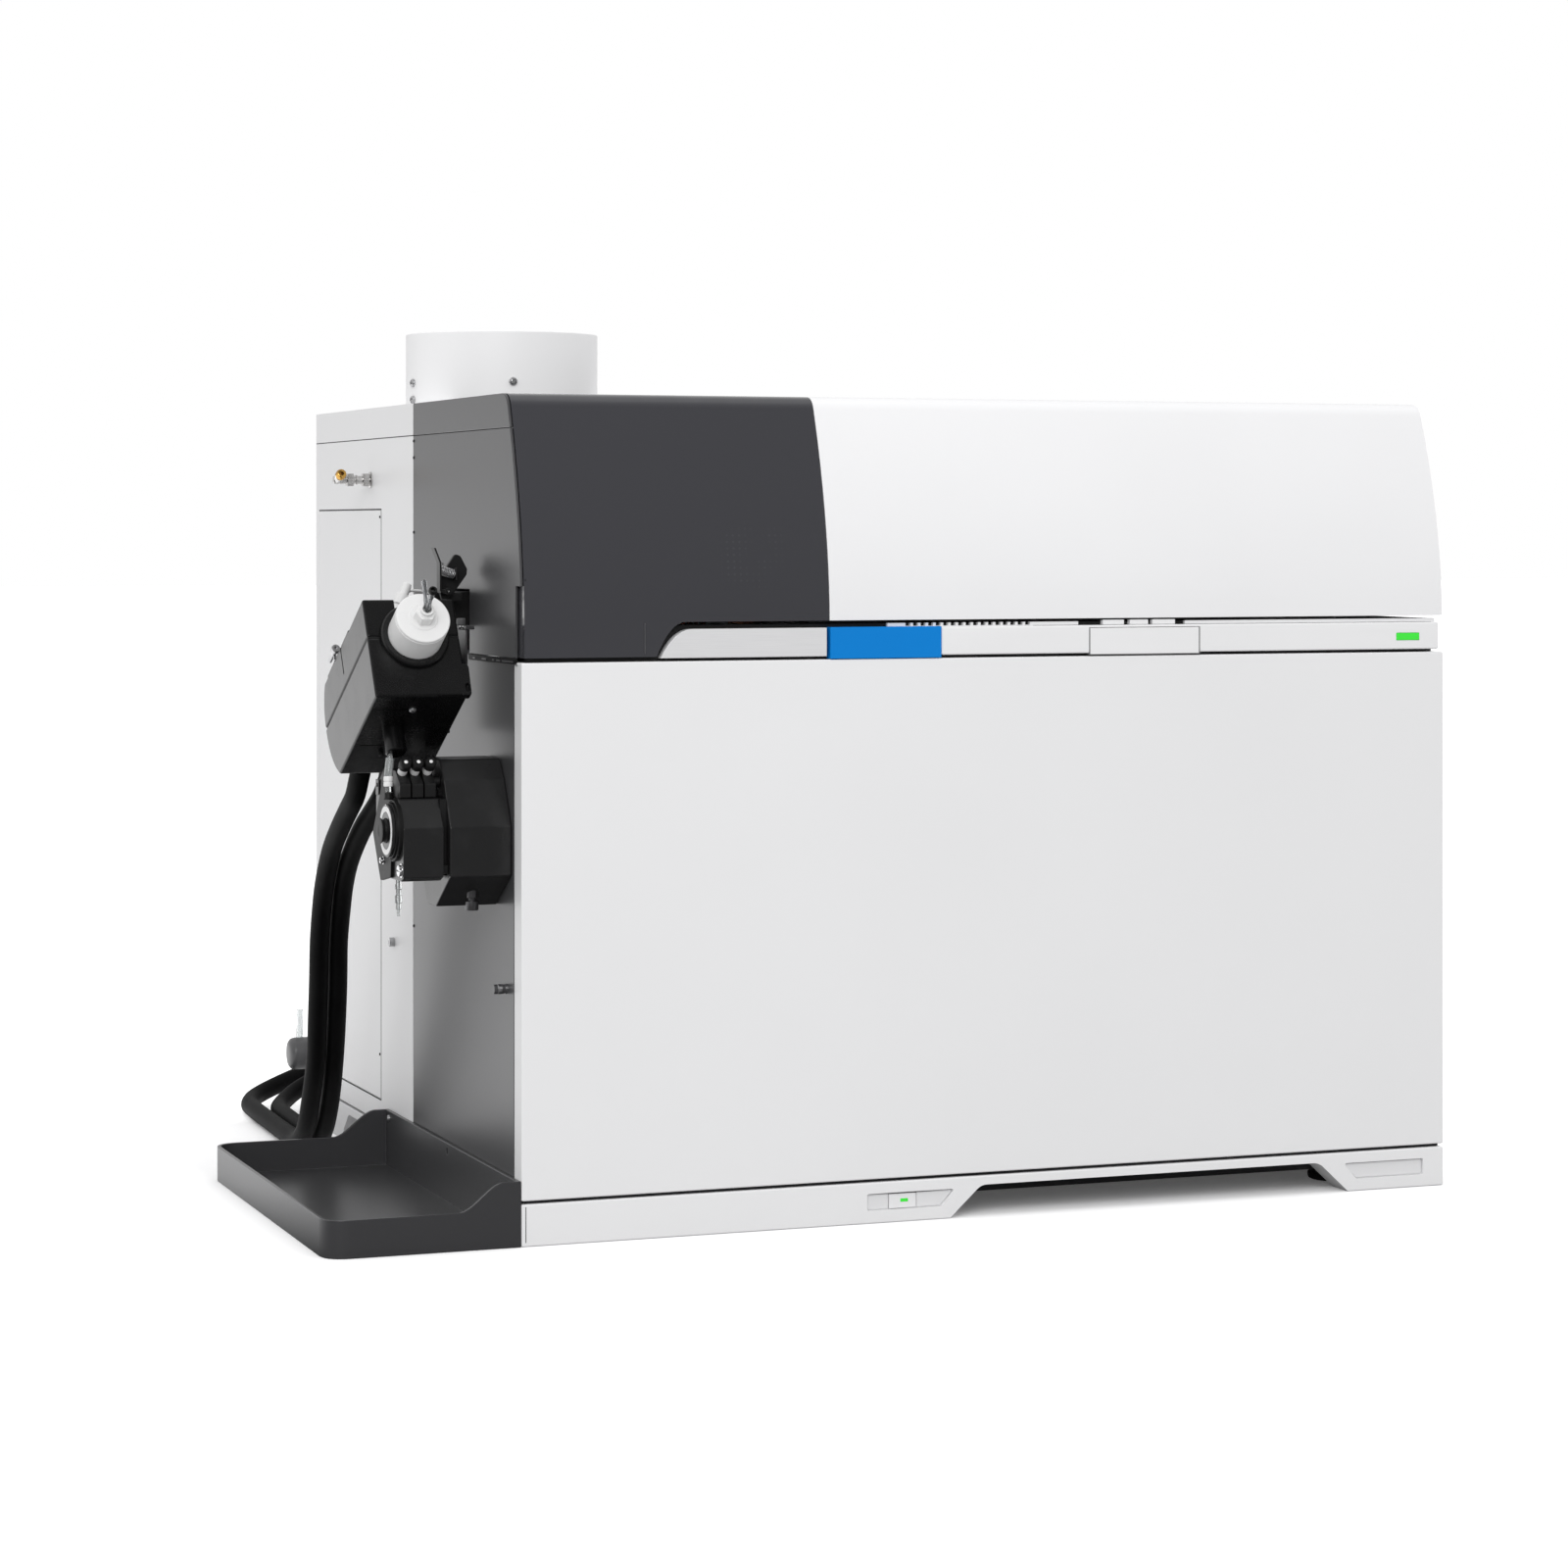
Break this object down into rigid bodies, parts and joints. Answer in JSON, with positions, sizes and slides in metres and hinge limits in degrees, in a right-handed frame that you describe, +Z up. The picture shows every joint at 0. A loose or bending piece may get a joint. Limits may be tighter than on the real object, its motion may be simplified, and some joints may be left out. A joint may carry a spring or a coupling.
{
  "type": "icp mass spectrometer",
  "caption": "Bench-top plasma mass spectrometer: white cabinet, smoked torch hood, exhaust collar, cooled spray chamber box with coolant hoses, peristaltic pump and spill tray.",
  "frame": {"origin": "middle of the whole object's footprint box, hoses left out, on the surface it stands on", "axes": "+X to the right seen from the front, +Y from the front to the back, +Z up"},
  "size_m": [0.8694, 0.7319, 0.651],
  "materials": {
    "white_paint": "fine textured off-white powder coat",
    "white_plastic": "satin white moulding",
    "grey_paint": "satin dark grey paint",
    "smoked_plastic": "glossy smoked moulding",
    "grey_plastic": "satin dark grey moulding",
    "black_plastic": "matt black moulding",
    "blue_plate": "bare blue plate",
    "green_lamp": "lit green lens",
    "brushed_trim": "brushed along the front",
    "bare_steel": "plain sheet steel",
    "machined_aluminium": "machined",
    "optics_steel": "polished",
    "copper": "bare copper",
    "amber_metal": "yellow plug",
    "clear_glass": "clear",
    "clear_tube": "clear soft tube",
    "hose_foam": "black foam sleeve"
  },
  "bodies": {
    "chassis": {"access_panel": "white_paint", "base_pan": "bare_steel", "centre_bulkhead": "bare_steel", "chamber_lower_shell": "black_plastic", "chamber_ring": "black_plastic", "chamber_upper_shell": "black_plastic", "clamp_block": "black_plastic", "clip_spring": "bare_steel", "coolant_hose_inner": "hose_foam", "coolant_hose_outer": "hose_foam", "cross_rail": "black_plastic", "detector": "optics_steel", "drain_tube": "clear_tube", "end_cap": "white_plastic", "exhaust_collar": "white_paint", "fascia_strip": "white_plastic", "front_plinth": "white_plastic", "gas_fitting": "bare_steel", "gas_plug": "amber_metal", "hinge_rod": "bare_steel", "ion_lenses": "optics_steel", "left_lower_panel": "grey_paint", "left_plinth": "white_plastic", "left_top_cap": "grey_paint", "left_upper_panel": "grey_paint", "load_coil": "copper", "lower_front_panel": "white_paint", "mains_inlet": "black_plastic", "nameplate": "blue_plate", "nebulizer": "clear_glass", "pump_head": "black_plastic", "pump_motor_housing": "black_plastic", "quadrupole_rods": "optics_steel", "rear_left_panel": "white_paint", "rear_panel": "white_paint", "rear_ports": "black_plastic", "rf_generator": "machined_aluminium", "right_plinth": "white_plastic", "right_side_panel": "white_paint", "sampler_cone": "copper", "spill_tray": "grey_plastic", "spray_chamber": "clear_glass", "status_lamp": "green_lamp", "top_cover": "white_paint", "torch": "clear_glass", "torch_box": "bare_steel", "trim_plate": "brushed_trim", "turbo_pump": "machined_aluminium", "vacuum_chamber": "machined_aluminium"},
    "hood": {"torch_hood": "smoked_plastic"},
    "cover": {"analyser_cover": "white_plastic"},
    "latch": {"latch_plate": "white_plastic"},
    "button": {"power_button": "white_plastic"},
    "rotor": {"pump_rotor": "black_plastic"},
    "clamp_outer": {"pump_clamp_outer": "black_plastic"},
    "clamp_middle": {"pump_clamp_middle": "black_plastic"},
    "clamp_inner": {"pump_clamp_inner": "black_plastic"},
    "clip": {"clip_lever": "black_plastic"},
    "fan": {"fan_rotor": "black_plastic"}
  },
  "joints": [
    {"name": "hood_hinge", "type": "hinge", "parent": "chassis", "child": "hood", "pos_m": [-0.17925, -0.07347, 0.5905], "axis": [-1, 0, 0], "range_deg": [0, 70]},
    {"name": "cover_hinge", "type": "hinge", "parent": "chassis", "child": "cover", "pos_m": [0.18475, -0.07347, 0.5905], "axis": [-1, 0, 0], "range_deg": [0, 65]},
    {"name": "latch_press", "type": "slide", "parent": "chassis", "child": "latch", "axis": [0, 1, 0], "range_m": [0, 0.003], "stiffness_N_per_m": 400, "springref_m": -0.001},
    {"name": "button_press", "type": "slide", "parent": "chassis", "child": "button", "axis": [0, 1, 0], "range_m": [0, 0.002], "stiffness_N_per_m": 300, "springref_m": -0.001},
    {"name": "rotor_spin", "type": "hinge", "parent": "chassis", "child": "rotor", "pos_m": [-0.35925, -0.26897, 0.2887], "axis": [1, 0, 0], "continuous": true},
    {"name": "clamp_outer_hinge", "type": "hinge", "parent": "chassis", "child": "clamp_outer", "pos_m": [-0.36825, -0.21747, 0.3172], "axis": [-1, 0, 0], "range_deg": [0, 8]},
    {"name": "clamp_middle_hinge", "type": "hinge", "parent": "chassis", "child": "clamp_middle", "pos_m": [-0.35925, -0.21747, 0.3172], "axis": [-1, 0, 0], "range_deg": [0, 22]},
    {"name": "clamp_inner_hinge", "type": "hinge", "parent": "chassis", "child": "clamp_inner", "pos_m": [-0.35025, -0.21747, 0.3172], "axis": [-1, 0, 0], "range_deg": [0, 22]},
    {"name": "clip_squeeze", "type": "hinge", "parent": "chassis", "child": "clip", "pos_m": [-0.31765, -0.20097, 0.4544], "axis": [0, 1, 0], "range_deg": [0, 12], "stiffness_Nm_per_rad": 0.15, "springref_deg": -5.73, "deforming": ["clip_spring"]},
    {"name": "fan_spin", "type": "hinge", "parent": "chassis", "child": "fan", "pos_m": [0.26475, 0.27153, 0.3], "axis": [0, 1, 0], "continuous": true}
  ]
}
